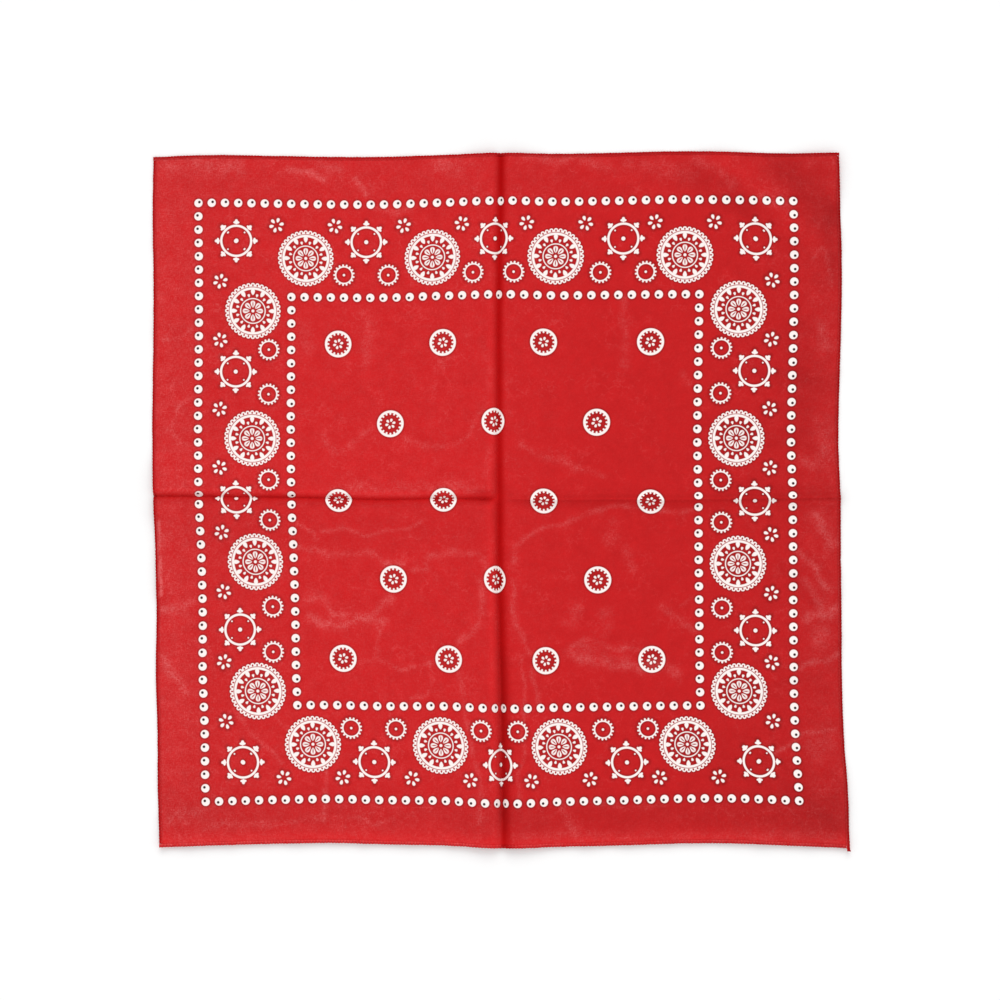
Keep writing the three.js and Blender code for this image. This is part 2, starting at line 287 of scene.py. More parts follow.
paleLines = [
    (1.5, 0.5, (-160, -17), (-147, -24), (-142, -32)),
    (2, 0.5, (-140, -24), (-120, -21), (-108, -28), (-90, -23), (-72, -22), (-62, -17)),
    (3, 0.5, (-158, -38), (-145, -38), (-134, -44), (-118, -42), (-100, -42), (-90, -50), (-76, -50)),
    (3, 0.5, (-68, -56), (-57, -54), (-56, -42)),
    (3, 0.45, (-52, -42), (-38, -40), (-16, -42), (-12, -56)),
    (4, 0.55, (-152, -76), (-142, -76), (-130, -88), (-120, -90), (-100, -88), (-92, -80), (-86, -78)),
    (4.5, 0.7, (-150, -90), (-138, -96), (-120, -97), (-108, -92), (-92, -96)),
    (2.6, 0.45, (-92, -98), (-95, -110), (-97, -122), (-112, -126)),
    (2, 0.45, (-96, -122), (-85, -128), (-78, -134), (-66, -130), (-54, -126), (-55, -140),
     (-57, -152), (-70, -156)),
    (3.6, 0.5, (-15, -64), (-14, -80), (-17, -96), (-28, -108), (-34, -112)),
    (2.6, 0.45, (-34, -134), (-30, -146), (-27, -170), (-22, -196), (-17, -212), (-15, -250)),
    (2, 0.5, (-205, -165), (-198, -180), (-186, -190), (-176, -196), (-170, -205)),
    (1.6, 0.5, (-175, -165), (-170, -175), (-164, -182)),
    (2, 0.5, (-136, -212), (-137, -225), (-138, -250)),
    (4, 0.6, (-262, -122), (-258, -135), (-248, -142), (-246, -152)),
    (4, 0.5, (-262, -84), (-250, -84), (-240, -80)),
    (4, 0.35, (-258, -250), (-250, -242), (-230, -242)),
    (2, 0.35, (-230, -255), (-205, -250), (-180, -254), (-150, -248), (-120, -246), (-100, -252),
     (-84, -248)),
    # painted highlight along the rolled left edge
    (1.7, 1.2, (-266.3, -18), (-266.2, -48), (-266.0, -74)),
    (3, 0.5, (10, -48), (12, -36), (22, -28), (34, -22), (50, -18), (64, -11), (82, -6), (106, -5),
     (128, -7), (150, -9)),
    (2.6, 0.6, (8, -64), (10, -84), (13, -100), (17, -112), (21, -118)),
    (3, 0.6, (50, -118), (58, -112), (64, -109), (78, -112), (100, -117), (118, -115)),
    (5.5, 0.75, (54, -120), (72, -124), (88, -128), (108, -132), (128, -128), (138, -136)),
    (5, 0.5, (62, -114), (78, -120), (98, -126)),
    (2, 0.5, (16, -122), (18, -140), (17, -190), (15, -215), (14, -240)),
    (2.6, 0.55, (25, -134), (29, -150), (30, -158)),
    (5.5, 0.4, (97, -38), (100, -50), (104, -54)),
    (4, 0.6, (127, -84), (135, -90), (145, -98), (153, -104)),
    (2, 0.4, (140, -82), (150, -76)),
    (7, 0.38, (83, -31), (87, -19)),
    (7, 0.36, (53, -96), (57, -84)),
    (7, 0.35, (80, -101), (84, -89)),
    (6, 0.7, (246, -12), (252, -24), (258, -34)),
    (3, 0.7, (232, -40), (242, -50), (250, -62), (258, -70)),
    (3, 0.6, (236, -62), (244, -72), (252, -84), (258, -90)),
    (5, 0.7, (240, -92), (252, -88), (262, -86)),
    (8, 0.5, (248, -108), (252, -104)),
    (2.5, 0.7, (228, -132), (240, -128), (256, -124), (262, -120)),
    (2, 0.6, (212, -198), (228, -190), (238, -182), (262, -178)),
    (10, 0.4, (246, -192), (252, -188)),
    (3, 0.5, (46, -232), (50, -245), (56, -258)),
    (2, 0.4, (50, -237), (80, -238), (110, -240), (130, -238)),
    (5, 0.25, (20, -262), (262, -262)),
    (7, 0.3, (-104, 140), (-104, 112)),
    (7, 0.25, (-154, 135), (-148, 118)),
    (3.5, 0.4, (-138, 50), (-134, 40), (-122, 38), (-114, 48), (-100, 55)),
    (2.8, 0.4, (-76, 48), (-60, 42), (-36, 41), (-28, 50), (-18, 64), (-14, 72)),
    (4, 0.35, (-50, 112), (-44, 102)),
    (5, 0.12, (-12, 78), (-10, 100), (-12, 125)),
    (4, 0.2, (-12, 22), (-10, 40)),
    (6, 0.35, (-130, 8), (-20, 10)),
    (7, 0.45, (-262, 262), (-230, 262), (-205, 258)),
    (3.5, 0.7, (-165, 258), (-150, 256), (-140, 250)),
    (6, 0.45, (-140, 262), (-125, 256)),
    (2, 0.5, (-112, 252), (-106, 238)),
    (8, 0.4, (-50, 262), (-30, 258)),
    (2, 0.5, (-262, 126), (-250, 128), (-242, 134)),
    (2, 0.45, (-242, 80), (-252, 72), (-256, 58), (-250, 46), (-244, 42)),
    (3, 0.5, (-98, 228), (-84, 225), (-70, 228)),
    (4.5, 0.4, (95, 158), (97, 130), (97, 105)),
    (3.5, 0.4, (14, 44), (34, 34), (46, 32), (60, 26), (80, 18)),
    (3, 0.5, (142, 100), (147, 92)),
    (7, 0.4, (250, 60), (256, 50), (254, 36), (244, 28), (236, 32)),
    (7, 0.4, (250, 135), (254, 120)),
    (2, 0.45, (244, 188), (250, 196), (256, 188), (256, 168)),
    (5, 0.45, (20, 266), (60, 266), (84, 258)),
    (8, 0.35, (100, 262), (145, 256)),
    (5, 0.4, (150, 266), (170, 258), (180, 248)),
    (6, 0.4, (205, 236), (222, 230)),
]


def bell(distance, width):
    return np.exp(-(distance / width) ** 2)


def distanceTo(line, x, y):
    nearest = np.full(np.shape(x), 1000.0)
    for (fromX, fromY), (toX, toY) in zip(line, line[1:]):
        goX = toX - fromX
        goY = toY - fromY
        share = np.clip(((x - fromX) * goX + (y - fromY) * goY) / (goX * goX + goY * goY), 0, 1)
        nearest = np.minimum(nearest, np.hypot(x - fromX - share * goX, y - fromY - share * goY))
    return nearest


def paleness(x, y):
    level = np.interp(x, tone["u"], tone["pale"])
    out = np.maximum(abs(x), abs(y)) - tone["marginStart"]
    level = level + tone["margin"] * smooth(out / tone["marginFade"])
    shiftX = tone["wobble"] * unevenness(x, y, tone["wobbleLength"], 12.5)
    shiftY = tone["wobble"] * unevenness(x, y, tone["wobbleLength"], 17.5)
    strongest = 0 * x
    for width, strength, *line in paleLines:
        fall = bell(distanceTo(line, x + shiftX, y + shiftY), width * tone["lineWidth"])
        strongest = np.maximum(strongest, strength * tone["lineStrength"] * fall)
    return level + strongest * (0.85 + 0.5 * unevenness(x, y, 6, 21.5))


def uprightBand(u, v):  # 1 on the darkest line of the upright crease, fading on both sides of it
    before, beyond, shift = columns(uprightCreaseShade, v, "before", "beyond", "shift")
    return bell(u - shift, np.where(u < shift, before, beyond))


# Painted shade in the creases: how far the red turns deeper there.
def paintedCreaseShade(u, v):
    upright = columns(uprightCreaseShade, v, "deep")[0] * uprightBand(u, v)
    left = bell(v - levelCreaseShade["leftPlace"], levelCreaseShade["leftWidth"]) * smooth((4 - u) / 8)
    right = bell(v, levelCreaseShade["rightWidth"]) * smooth((u - 4) / 12)
    level = np.maximum(levelCreaseShade["leftDeep"] * left, levelCreaseShade["rightDeep"] * right)
    return np.maximum(upright, level)


# Painted light and shade: darker towards the right and the near edge, beside the creases and along the
# folds, and lighter where it is negative.
def paintedShadeLevel(u, v):
    shade, lit = columns(uprightCreaseShade, v, "shade", "lit")
    total = np.interp(u, tone["u"], tone["shade"]) - tone["nearShade"] * v / cloth["half"]
    total = total + shade * uprightBand(u, v)
    total = total - lit * bell(u - uprightCreaseShade["litPlace"], uprightCreaseShade["litWidth"])
    for flank in ("far", "near"):
        dim = np.interp(u, levelCreaseShade["u"], levelCreaseShade[flank + "Dim"])
        total = total + dim * bell(v - levelCreaseShade[flank + "Place"], levelCreaseShade[flank + "Width"])
    for width, darker, *line in shadeLines:
        total = total + darker * bell(distanceTo(line, u, v), width)
    return total


# Meshes
def newPiece(name, points, faces, *materials):
    mesh = bpy.data.meshes.new(name)
    mesh.from_pydata(np.asarray(points).tolist(), [], [tuple(f) for f in faces])
    for face in mesh.polygons:
        face.use_smooth = True
    piece = bpy.data.objects.new(name, mesh)
    bpy.context.collection.objects.link(piece)
    for material in materials:
        mesh.materials.append(material)
    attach(piece, "root")
    return piece


def addUvMap(piece, name, uvOfCorner):
    layer = piece.data.uv_layers.new(name=name)
    layer.data.foreach_set("uv", np.asarray(uvOfCorner, np.float32).ravel())


def addLevels(piece, **levels):  # one number at each point of the mesh, for the materials
    for name, values in levels.items():
        layer = piece.data.attributes.new(name, "FLOAT", "POINT")
        layer.data.foreach_set("value", np.asarray(values, np.float32).ravel())


# Node trees. A Field is one number at every point of the surface, so that a motif reads as plain sums.
class Field:
    def __init__(self, tree, socket):
        self.tree = tree
        self.socket = socket

    def calc(self, kind, *others, clamp=False):
        node = self.tree.nodes.new("ShaderNodeMath")
        node.operation = kind
        node.use_clamp = clamp
        for socket, value in zip(node.inputs, (self, *others)):
            feed(self.tree, value, socket)
        return Field(self.tree, node.outputs[0])

    def __add__(self, other):
        return self.calc("ADD", other)

    def __sub__(self, other):
        return self.calc("SUBTRACT", other)

    def __mul__(self, other):
        return self.calc("MULTIPLY", other)

    def __truediv__(self, other):
        return self.calc("DIVIDE", other)

    def __rsub__(self, other):
        return self.calc("MULTIPLY_ADD", -1, other)

    def __abs__(self):
        return self.calc("ABSOLUTE")

    __radd__ = __add__
    __rmul__ = __mul__


def feed(tree, value, socket):  # a number goes on the socket itself, anything else is linked to it
    if isinstance(value, (int, float, tuple)):
        socket.default_value = value
    else:
        tree.links.new(value.socket if isinstance(value, Field) else value, socket)


def most(first, *others, kind="MAXIMUM"):
    for other in others:
        first = first.calc(kind, other)
    return first


def least(*fields):
    return most(*fields, kind="MINIMUM")


def length(x, y):
    return (x * x + y * y).calc("SQRT")


def inside(distance):  # from 1 well inside an edge to 0 well outside it, and 0.5 on the edge itself
    return distance.calc("MULTIPLY_ADD", -1 / ink["reach"], 0.5, clamp=True)


def newGroup(name, inputs, outputs):
    group = bpy.data.node_groups.new(name, "ShaderNodeTree")
    for way, labels in (("INPUT", inputs), ("OUTPUT", outputs)):
        for label in labels:
            group.interface.new_socket(label, in_out=way, socket_type="NodeSocketFloat")
    source = group.nodes.new("NodeGroupInput")
    return group, [Field(group, source.outputs[label]) for label in inputs]


def closeGroup(group, **results):
    sink = group.nodes.new("NodeGroupOutput")
    for label, value in results.items():
        feed(group, value, sink.inputs[label])
    return group


def useGroup(tree, group, *values):
    node = tree.nodes.new("ShaderNodeGroup")
    node.node_tree = group
    for socket, value in zip(node.inputs, values):
        feed(tree, value, socket)
    results = [Field(tree, socket) for socket in node.outputs]
    return results[0] if len(results) == 1 else results


def noiseField(tree, x, y, scaleX, scaleY, seed, detail=2.0, roughness=0.5):  # about 0.5, sizes in mm
    join = tree.nodes.new("ShaderNodeCombineXYZ")
    feed(tree, x * (1 / scaleX), join.inputs[0])
    feed(tree, y * (1 / scaleY), join.inputs[1])
    join.inputs[2].default_value = seed
    texture = tree.nodes.new("ShaderNodeTexNoise")
    texture.inputs["Scale"].default_value = 1.0
    texture.inputs["Detail"].default_value = detail
    texture.inputs["Roughness"].default_value = roughness
    tree.links.new(join.outputs[0], texture.inputs["Vector"])
    return Field(tree, texture.outputs[0])


# The print, in millimetres from its own middle. It is a bandana's usual make-up: two frames of pearls,
# rosettes, wheels, cogs and small flowers between them, and a field of spots inside.
pearls = {"outerPitch": 10.42, "outerCount": 22.5, "innerPitch": 10.41, "innerCount": 15.5,
          "radius": 3.3, "dot": 1.15, "dotShift": 0.72}
band = {"rosettes": 50.0, "rosetteDepth": 191.8, "wheels": 102.3, "wheelDepth": 205.0,
        "cogs": 17.5, "cogDepth": 179.0, "cogsReach": 135.0, "flowers": 23.0, "flowerDepth": 217.5}
field = {"across": 41.4, "up": 62.4, "reach": 148.0}
ink = {
    "reach": 3.6,  # twice the breadth of the darker red beside the ink
    "edge": 0.45,  # of the ink's soft edge
    "inset": 0.1,
}

# The motifs. A ring of petals has its count, distance out, half length, half width, taper and turn, and
# a plain ring its radius and half width.
rosette = {
    "lace": (19.9, 0.95),
    "scallops": (36, 20.9, 1.15, 1.5, 0, 0.5),
    "laceHoles": (36, 20.1, 0.78, 0.55, 0, 0.5),
    "rim": (17.6, 1.0),
    "arches": (12, 14.9, 2.5, 1.6, 0.35, 0.5),
    "drops": (12, 12.3, 1.35, 0.95, 0.5, 0.0),
    "thinRing": (9.7, 0.5),
    "flower": (8, 5.35, 2.75, 1.75, 0.45, 0.5),
    "slits": (8, 5.0, 1.5, 0.32, 0.3, 0.5),
    "heart": 1.25,
}
wheel = {
    "ring": (11.6, 0.95),
    "knobs": (8, 14.7, 2.15, 1.3, 0.2, 0.5),
    "knobEars": (8, 14.2, 1.15, 2.5, 0, 0.5),
    "rivets": (4, 9.1, 0.72, 0.72, 0, 0.0),
    "hub": 1.65,
}
cog = {"ring": (6.55, 0.62), "teeth": (17, 7.5, 1.1, 0.82, 0.1, 0.5), "hub": 1.05}
smallFlower = {"petals": (6, 4.0, 1.9, 1.25, 0.3, 0.72)}
fieldSpot = {
    "ring": (9.5, 1.05),
    "teeth": (16, 8.0, 1.1, 0.85, 0, 0.5),
    "petals": (6, 2.8, 1.4, 1.0, 0.25, 0.25),
}


def makePetalRing():
    names = ["X", "Y", "Count", "Distance", "Half Length", "Half Width", "Taper", "Turn"]
    group, values = newGroup("petalRing", names, ["Mask"])
    x, y, count, distance, halfLength, halfWidth, taper, turn = values
    share = (y.calc("ARCTAN2", x) * count / math.tau + turn + 64).calc("FRACT") - 0.5
    angle = share * math.tau / count
    r = length(x, y)
    out = (r * angle.calc("COSINE") - distance) / halfLength
    wide = halfWidth * (out * taper + 1)
    side = r * angle.calc("SINE") / wide
    return closeGroup(group, Mask=inside((length(out, side) - 1) * halfWidth))


def makePearlFrame():
    names = ["X", "Y", "Pitch", "Count", "Turn"]
    group, (x, y, pitch, count, turn) = newGroup("pearlFrame", names, ["White", "Dot"])
    cellX = (x / pitch).calc("FLOOR") + 0.5
    cellY = (y / pitch).calc("FLOOR") + 0.5
    localX = x - cellX * pitch
    localY = y - cellY * pitch
    away = most(abs(cellX), abs(cellY))
    onFrame = abs(away - count).calc("LESS_THAN", 0.25)
    onSide = abs(cellX).calc("GREATER_THAN", abs(cellY) + cellY.calc("SIGN") * 0.1)
    outX = cellX.calc("SIGN") * onSide
    outY = cellY.calc("SIGN") * (1 - onSide)
    dotX = localX - (outX + outY) * turn * pearls["dotShift"]
    dotY = localY - (outY - outX) * turn * pearls["dotShift"]
    white = inside(length(localX, localY) - pearls["radius"]) * onFrame
    dot = inside(length(dotX, dotY) - pearls["dot"]) * onFrame
    return closeGroup(group, White=white, Dot=dot)


def newMotif(name, petalRing):  # its group, and functions for what it is put together from
    group, (x, y) = newGroup(name, ["X", "Y"], ["Mask"])
    r = length(x, y)

    def petals(values):
        return useGroup(group, petalRing, x, y, *values)

    def ring(values):
        radius, halfWidth = values
        return inside(abs(r - radius) - halfWidth)

    def disc(radius):
        return inside(r - radius)

    return group, petals, ring, disc


def makeRosette(petalRing):
    group, petals, ring, disc = newMotif("rosette", petalRing)
    lace = least(most(ring(rosette["lace"]), petals(rosette["scallops"])), 1 - petals(rosette["laceHoles"]))
    flower = least(petals(rosette["flower"]), 1 - petals(rosette["slits"]))
    middle = most(ring(rosette["thinRing"]), flower, disc(rosette["heart"]))
    outside = most(lace, ring(rosette["rim"]), petals(rosette["arches"]), petals(rosette["drops"]))
    return closeGroup(group, Mask=most(outside, middle))


def makeWheel(petalRing):
    group, petals, ring, disc = newMotif("wheel", petalRing)
    knobs = most(petals(wheel["knobs"]), petals(wheel["knobEars"]), petals(wheel["rivets"]))
    return closeGroup(group, Mask=most(ring(wheel["ring"]), knobs, disc(wheel["hub"])))


def makeCog(petalRing):
    group, petals, ring, disc = newMotif("cog", petalRing)
    return closeGroup(group, Mask=most(ring(cog["ring"]), petals(cog["teeth"]), disc(cog["hub"])))


def makeSmallFlower(petalRing):
    group, (x, y) = newGroup("smallFlower", ["X", "Y"], ["Mask"])
    return closeGroup(group, Mask=useGroup(group, petalRing, x, y, *smallFlower["petals"]))


def makeFieldSpot(petalRing):
    group, petals, ring = newMotif("fieldSpot", petalRing)[:3]
    spot = most(ring(fieldSpot["ring"]), petals(fieldSpot["teeth"]), petals(fieldSpot["petals"]))
    return closeGroup(group, Mask=spot)


def makePrint():
    petalRing = makePetalRing()
    pearlFrame = makePearlFrame()
    group, (x, y) = newGroup("bandanaPrint", ["X", "Y"], ["White", "Dot", "Outline"])
    outerWhite, outerDot = useGroup(group, pearlFrame, x, y, pearls["outerPitch"], pearls["outerCount"], 1)
    innerWhite, innerDot = useGroup(group, pearlFrame, x, y, pearls["innerPitch"], pearls["innerCount"], -1)
    depth = most(abs(x), abs(y))
    onSide = abs(x).calc("GREATER_THAN", abs(y))
    along = abs(y) * onSide + abs(x) * (1 - onSide)  # every motif of the band is alike on both sides of 0
    rosetteX = abs(along - 2 * band["rosettes"]) - band["rosettes"]
    rosettes = useGroup(group, makeRosette(petalRing), rosetteX, depth - band["rosetteDepth"])
    wheelX = along - (along / band["wheels"]).calc("ROUND") * band["wheels"]
    wheels = useGroup(group, makeWheel(petalRing), wheelX, depth - band["wheelDepth"])
    cogs = useGroup(group, makeCog(petalRing), abs(wheelX) - band["cogs"], depth - band["cogDepth"])
    cogs = cogs * along.calc("LESS_THAN", band["cogsReach"])
    flowers = useGroup(group, makeSmallFlower(petalRing), abs(rosetteX) - band["flowers"],
                       depth - band["flowerDepth"])
    flowers = flowers * depth.calc("GREATER_THAN", band["rosetteDepth"])
    first = ((x / field["across"] + y / field["up"]) * 0.5).calc("FRACT") - 0.5
    second = ((x / field["across"] - y / field["up"]) * 0.5).calc("FRACT") - 0.5
    spots = useGroup(group, makeFieldSpot(petalRing), (first + second) * field["across"],
                     (first - second) * field["up"])
    spots = spots * depth.calc("LESS_THAN", field["reach"])
    near = most(outerWhite, innerWhite, rosettes, wheels, cogs, flowers, spots)
    steep = ink["reach"] / ink["edge"]
    middle = 0.5 - steep * (0.5 + ink["inset"] / ink["reach"])
    white = near.calc("MULTIPLY_ADD", steep, middle, clamp=True)
    dots = most(outerDot, innerDot).calc("MULTIPLY_ADD", steep, middle, clamp=True)
    outline = near.calc("MULTIPLY", 2, clamp=True) - white
    return closeGroup(group, White=white, Dot=dots, Outline=outline)


weave = {
    "pitch": 0.42,
    "bump": 0.05,
    "slub": 0.9,  # how much the yarns' thickness changes, over what length and breadth
    "slubLength": 14.0,
    "slubWidth": 0.55,
    "wander": 1.6,  # how far the yarns stray from straight, and over what length
    "wanderLength": 9.0,
}


def makeWeave():  # plain weave, with the thick and thin stretches of its yarns
    names = ["X", "Y", "Pitch", "Slub"]
    group, (x, y, pitch, slub) = newGroup("voileWeave", names, ["Height", "Thin"])
    across = noiseField(group, x, y, weave["slubLength"], weave["slubWidth"], 4.0)
    up = noiseField(group, x, y, weave["slubWidth"], weave["slubLength"], 9.0)
    wander = noiseField(group, x, y, weave["wanderLength"], weave["wanderLength"], 2.0) * weave["wander"]
    warp = ((x + wander) * math.pi / pitch).calc("COSINE")
    weft = ((y + wander) * math.pi / pitch).calc("COSINE")
    yarns = warp * weft * 0.5 + 0.5
    height = yarns + (across + up - 1) * slub
    thin = most(across - 0.5, up - 0.5) * 3
    return closeGroup(group, Height=height, Thin=thin.calc("ADD", 0, clamp=True))


wash = {
    "streakLength": 2.6,
    "streakWidth": 0.9,
    "grainSize": 0.8,
    "patchSize": 9.0,
    "streaks": 0.77,  # shares of streaks, grain and patches in the speckle
    "streakStart": 0.56,
    "grain": 0.21,
    "patches": 0.28,
    "mottle": 0.34,  # unevenness of the red's brightness, and its broadest size
    "mottleSize": 13.0,
    "crinkle": 0.16,  # of the fine pale lines that the cloth is crinkled into in places
    "crinkleSize": 10.0,
    "crinkleSharpness": 22,
    "placeSize": 26.0,  # of the places that are crinkled, and where they start
    "placeStart": 0.47,
    "fade": 1.4,
}


# The given deep and shade levels are painted shade and painted light; the wash breaks them up with the
# cloth's random tone.
def makeWashAndShade():  # how pale, deep or dim the washed red is: three given levels, broken up along the yarns
    names = ["X", "Y", "Level", "Depth", "Shade"]
    group, (x, y, level, depth, shade) = newGroup("washedAndShadedRed", names, ["Pale", "Deep", "Dim", "Speckle"])
    across = noiseField(group, x, y, wash["streakLength"], wash["streakWidth"], 5.0)
    up = noiseField(group, x, y, wash["streakWidth"], wash["streakLength"], 6.0)
    grain = noiseField(group, x, y, wash["grainSize"], wash["grainSize"], 7.0, 1.0)
    patch = noiseField(group, x, y, wash["patchSize"], wash["patchSize"], 1.0, 3.0)
    speckle = (most(across, up) - wash["streakStart"]) * wash["streaks"]
    speckle = speckle + (grain - 0.5) * wash["grain"] + (patch - 0.5) * wash["patches"]
    ridges = noiseField(group, x, y, wash["crinkleSize"], wash["crinkleSize"], 11.0, 3.0)
    lines = (1 - abs(ridges - 0.5) * wash["crinkleSharpness"]).calc("MAXIMUM", 0)
    places = noiseField(group, x, y, wash["placeSize"], wash["placeSize"], 13.0)
    crinkle = lines * ((places - wash["placeStart"]) * 7).calc("ADD", 0, clamp=True) * wash["crinkle"]
    shown = (level + crinkle) * (speckle * 4 + 1) + speckle * 0.6
    pale = shown.calc("MAXIMUM", 0).calc("POWER", wash["fade"]).calc("MINIMUM", 1)
    deep = (depth + (0 - shown).calc("MAXIMUM", 0) * 0.6).calc("ADD", 0, clamp=True)
    mottle = noiseField(group, x, y, wash["mottleSize"], wash["mottleSize"], 3.0, 4.0, 0.9)
    dim = shade + (mottle - 0.5) * wash["mottle"] - speckle * 0.05 - crinkle * 0.15
    return closeGroup(group, Pale=pale, Deep=deep, Dim=dim, Speckle=speckle)


def mixColour(tree, factor, a, b):
    node = tree.nodes.new("ShaderNodeMix")
    node.data_type = "RGBA"
    feed(tree, factor, node.inputs[0])
    feed(tree, a, node.inputs[6])
    feed(tree, b, node.inputs[7])
    return node.outputs[2]


def newMaterial(name, **values):
    material = bpy.data.materials.new(name)
    material.use_nodes = True
    shader = material.node_tree.nodes["Principled BSDF"]
    for label, value in values.items():
        shader.inputs[label].default_value = value
    return material, material.node_tree, shader


def readPlace(tree, uvMap, sizeMm):  # two Fields in millimetres from a UV map that is centred on 0.5
    node = tree.nodes.new("ShaderNodeUVMap")
    node.uv_map = uvMap
    parts = tree.nodes.new("ShaderNodeSeparateXYZ")
    tree.links.new(node.outputs[0], parts.inputs[0])
    return [(Field(tree, parts.outputs[i]) - 0.5) * sizeMm for i in (0, 1)]


def bumpFrom(tree, shader, height, distance):
    node = tree.nodes.new("ShaderNodeBump")
    node.inputs["Strength"].default_value = 1.0
    node.inputs["Distance"].default_value = distance * mm
    feed(tree, height, node.inputs["Height"])
    tree.links.new(node.outputs[0], shader.inputs["Normal"])


def readLevel(tree, name):
    node = tree.nodes.new("ShaderNodeAttribute")
    node.attribute_name = name
    return Field(tree, node.outputs["Fac"])


mapSize = 600  # millimetres that the cloth's own UV map spans
cotton = {
    "red": (0.617, 0.0145, 0.0165, 1),
    # The deep red is that of the painted crease shade and of randomly deeper spots; the rolled red is that
    # of the painted shade on the hems.
    "deepRed": (0.536, 0.0006, 0.0014, 1),
    "rolledShadeRed": (0.410, 0.0016, 0.0026, 1),
    "paleRed": (0.740, 0.112, 0.112, 1),
    "white": (0.975, 0.910, 0.880, 1),
    "dot": (0.030, 0.004, 0.008, 1),
    "inkCover": 0.985,
    "reverseCover": 0.45,  # of the print, where it shows through on the underside
    "outline": 0.36,  # how far the red beside the ink is darker
    "speckleInInk": 0.12,
    "roughness": 0.93,  # less where there is ink, and where the yarns are thin
    "inkSmoothing": 0.06,
    "thinSmoothing": 0.05,
    "shine": 0.08,
    "sheen": 0.03,
    "sheenTint": (1.0, 0.55, 0.5, 1),
}


def newCotton(name):
    values = {"Sheen Weight": cotton["sheen"], "Sheen Roughness": 0.6, "Sheen Tint": cotton["sheenTint"]}
    return newMaterial(name, **values, **{"Specular IOR Level": cotton["shine"]})


# The red with its washed tone and its painted shade and light.
def washedAndShadedRed(tree, washAndShadeGroup, x, y, deepest, outline=0.0):
    levels = [readLevel(tree, name) for name in ("pale", "deep", "shade")]
    pale, deep, dim, speckle = useGroup(tree, washAndShadeGroup, x, y, *levels)
    colour = mixColour(tree, pale, cotton["red"], cotton["paleRed"])
    shown = tree.nodes.new("ShaderNodeHueSaturation")
    feed(tree, 1 - dim - outline, shown.inputs["Value"])
    feed(tree, mixColour(tree, deep, colour, deepest), shown.inputs["Color"])
    return shown.outputs[0], speckle


def makeClothMaterial(name, printGroup, weaveGroup, washAndShadeGroup, inkCover):
    material, tree, shader = newCotton(name)
    x, y = readPlace(tree, "clothPlace", mapSize)
    white, dot, outline = useGroup(tree, printGroup, x, y)
    height, thin = useGroup(tree, weaveGroup, x, y, weave["pitch"], weave["slub"])
    outline = outline * cotton["outline"] * inkCover
    ground, speckle = washedAndShadedRed(tree, washAndShadeGroup, x, y, cotton["deepRed"], outline)
    inked = white * (1 - speckle.calc("MAXIMUM", 0) * cotton["speckleInInk"]) * inkCover
    colour = mixColour(tree, inked, ground, cotton["white"])
    colour = mixColour(tree, dot * inkCover, colour, cotton["dot"])
    feed(tree, colour, shader.inputs["Base Color"])
    roughness = cotton["roughness"] - white * cotton["inkSmoothing"] - thin * cotton["thinSmoothing"]
    feed(tree, roughness, shader.inputs["Roughness"])
    bumpFrom(tree, shader, height, weave["bump"])
    return material


# The printed square
def gridLines(half):
    side = [cloth["creaseStep"] * (i + 1) for i in range(cloth["creaseSteps"])]
    side += [side[-1] + cloth["besideStep"] * (i + 1) for i in range(cloth["besideSteps"])]
    side = np.concatenate([side, np.linspace(side[-1], half, cloth["plainSteps"] + 1)[1:]])
    return np.concatenate([-side[::-1], [0], side])


# Where the print lies on the cloth: its own coordinates at both edges and at the crease between them,
# by the place along them.
printPlace = {
    "at": [-270, 0, 270],
    "leftEdge": [-271.9, -270.6, -270.6],
    "uprightCrease": [-0.1, 3.8, 4.9],
    "rightEdge": [272.9, 271.6, 271.1],
    "nearEdge": [-267.9, -269.2, -269.9],
    "levelCrease": [2.9, 0.6, 2.3],
    "farEdge": [272.0, 271.9, 271.7],
    "blend": 25,  # how far the left half's folds reach into the right half's, and back
}


def lengthsAlong(axis, distance, height):  # of the cloth, from the crease
    steps = np.hypot(np.diff(distance, axis=axis), np.diff(height, axis=axis))
    total = np.insert(np.cumsum(steps, axis=axis), 0, 0, axis=axis)
    return total - np.take(total, [total.shape[axis] // 2], axis=axis)


def spreadPrint(axis, lengths, at, names):  # evenly along the cloth on each side of the crease
    low, middle, high = [np.interp(at, printPlace["at"], printPlace[name]) for name in names]
    share = lengths / np.take(lengths, [-1], axis=axis)
    share = np.where(lengths < 0, lengths / np.take(lengths, [0], axis=axis), share)
    share = share * cloth["tuckedEdge"] / cloth["half"]
    return middle + share * (np.where(lengths < 0, low, high) - middle)


def printCoordinates(u, v, x, y):
    upright, groove, ridge = creaseProfiles(u, v)
    onRight = smooth((u + printPlace["blend"]) / (2 * printPlace["blend"]))
    up = lengthsAlong(0, y, groove) * (1 - onRight) + lengthsAlong(0, y, ridge) * onRight
    across = spreadPrint(1, lengthsAlong(1, x, upright), v, ("leftEdge", "uprightCrease", "rightEdge"))
    return across, spreadPrint(0, up, u, ("nearEdge", "levelCrease", "farEdge"))


# The second UV map, for baking: the front takes most of it, the back and the rim a strip each.
bakeMap = {"low": 0.002, "span": 0.996, "frontWidth": 0.86, "backStart": 0.868, "backWidth": 0.115,
           "rimStart": 0.987, "rimEnd": 0.992}


def quads(index):  # of a grid
    return np.stack([index[:-1, :-1], index[:-1, 1:], index[1:, 1:], index[1:, :-1]], axis=-1).reshape(-1, 4)


def outline(index):  # of a grid, once round
    return np.concatenate([index[0, :-1], index[:-1, -1], index[-1, :0:-1], index[:0:-1, 0]])


